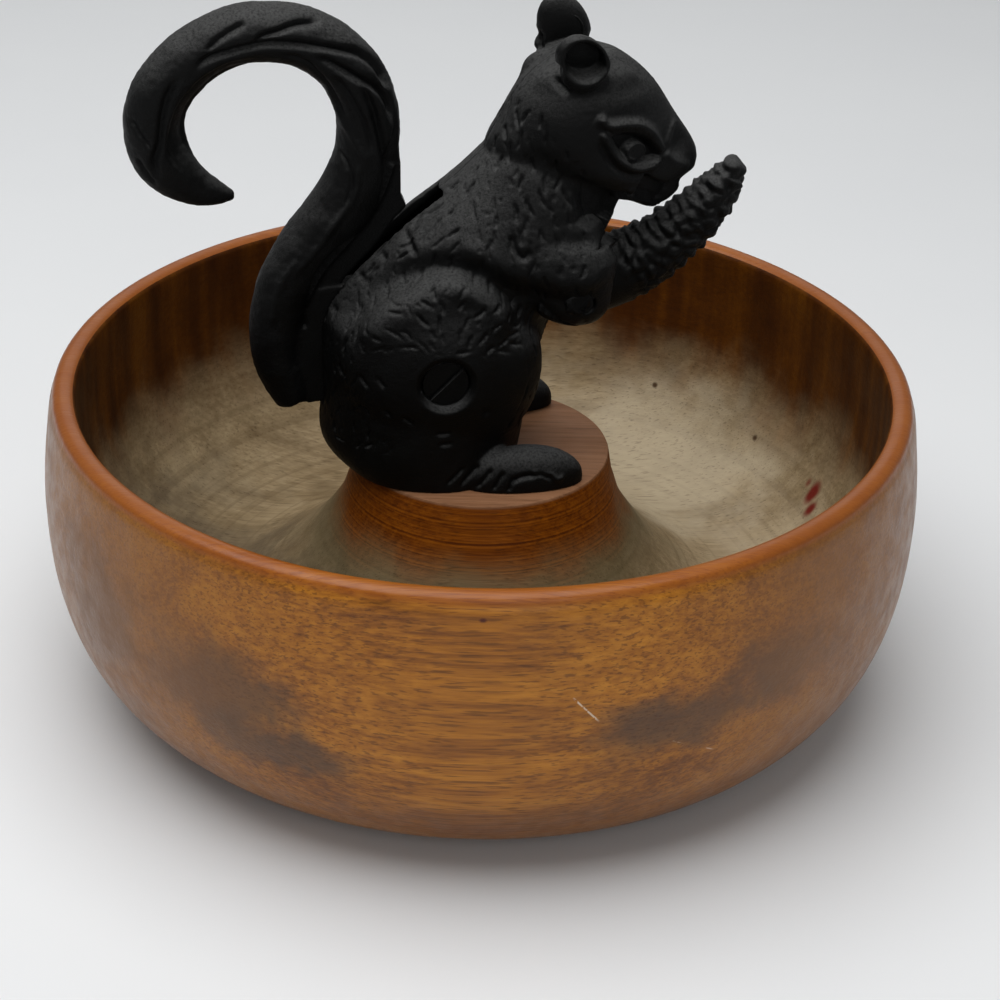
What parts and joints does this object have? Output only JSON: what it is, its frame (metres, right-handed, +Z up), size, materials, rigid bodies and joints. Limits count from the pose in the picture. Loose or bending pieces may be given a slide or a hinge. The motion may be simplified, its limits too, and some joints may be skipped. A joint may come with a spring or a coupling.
{
  "type": "lever nutcracker press",
  "caption": "Lever nutcracker in the form of a seated cast-iron squirrel whose curled tail drives its forearm jaws, bolted to the pedestal of a turned wooden nut bowl.",
  "frame": {"origin": "centre of the flat ring the bowl stands on, on the bowl's axis", "axes": "+Z up along the bowl's axis; +X is the way the squirrel faces; the squirrel's split plane is Y = 0, with its right side at -Y"},
  "size_m": [0.2464, 0.2464, 0.2052],
  "materials": {
    "varnished_wood": "satin varnish, worn pale in the trough",
    "black_iron": "matt black paint on cast iron",
    "black_steel": "matt black paint",
    "plain_steel": "dull zinc plate"
  },
  "bodies": {
    "base": {"nut_bowl": "varnished_wood", "right_body_half": "black_iron", "left_body_half": "black_iron", "pivot_pin": "black_steel", "body_screw": "black_steel", "body_nut": "black_steel", "head_dowel": "plain_steel", "mounting_bolt_right": "plain_steel", "mounting_bolt_left": "plain_steel", "mounting_washer_right": "plain_steel", "mounting_washer_left": "plain_steel"},
    "lever": {"tail_lever": "black_iron"}
  },
  "joints": [
    {"name": "lever_hinge", "type": "hinge", "parent": "base", "child": "lever", "pos_m": [0.023, 0, 0.124], "axis": [0, 1, 0], "range_deg": [0, 25]}
  ]
}
